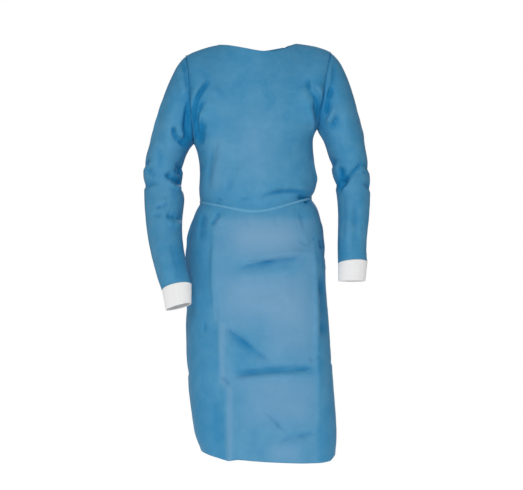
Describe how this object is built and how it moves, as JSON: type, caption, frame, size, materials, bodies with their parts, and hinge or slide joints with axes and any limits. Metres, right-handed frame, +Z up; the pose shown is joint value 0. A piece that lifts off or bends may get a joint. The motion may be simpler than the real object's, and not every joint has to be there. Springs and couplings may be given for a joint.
{
  "type": "surgical gown",
  "caption": "Long-sleeved wrap-back gown of thin nonwoven cloth in its worn, hollow shape, with a tied waist belt and knitted cuffs.",
  "frame": {"origin": "middle of the neck opening, level with the inner ends of the shoulder seams, where the wearer's shoulders hold the gown", "axes": "+Z up along the wearer's back, -Y is the way the front faces, -X is the wearer's right"},
  "size_m": [0.665, 0.3309, 1.203],
  "materials": {
    "cloth": "matte nonwoven",
    "ties": "matte nonwoven",
    "knit": "ribbed cotton knit"
  },
  "bodies": {
    "root": {"front_panel": "cloth", "back_left": "cloth", "back_right": "cloth", "sleeve_right": "cloth", "sleeve_left": "cloth", "cuff_right": "knit", "cuff_left": "knit", "waist_belt": "ties", "waist_knot": "ties", "waist_tie_left": "ties", "waist_tie_right": "ties", "neck_knot": "ties", "neck_tie_left": "ties", "neck_tie_right": "ties"}
  },
  "joints": []
}
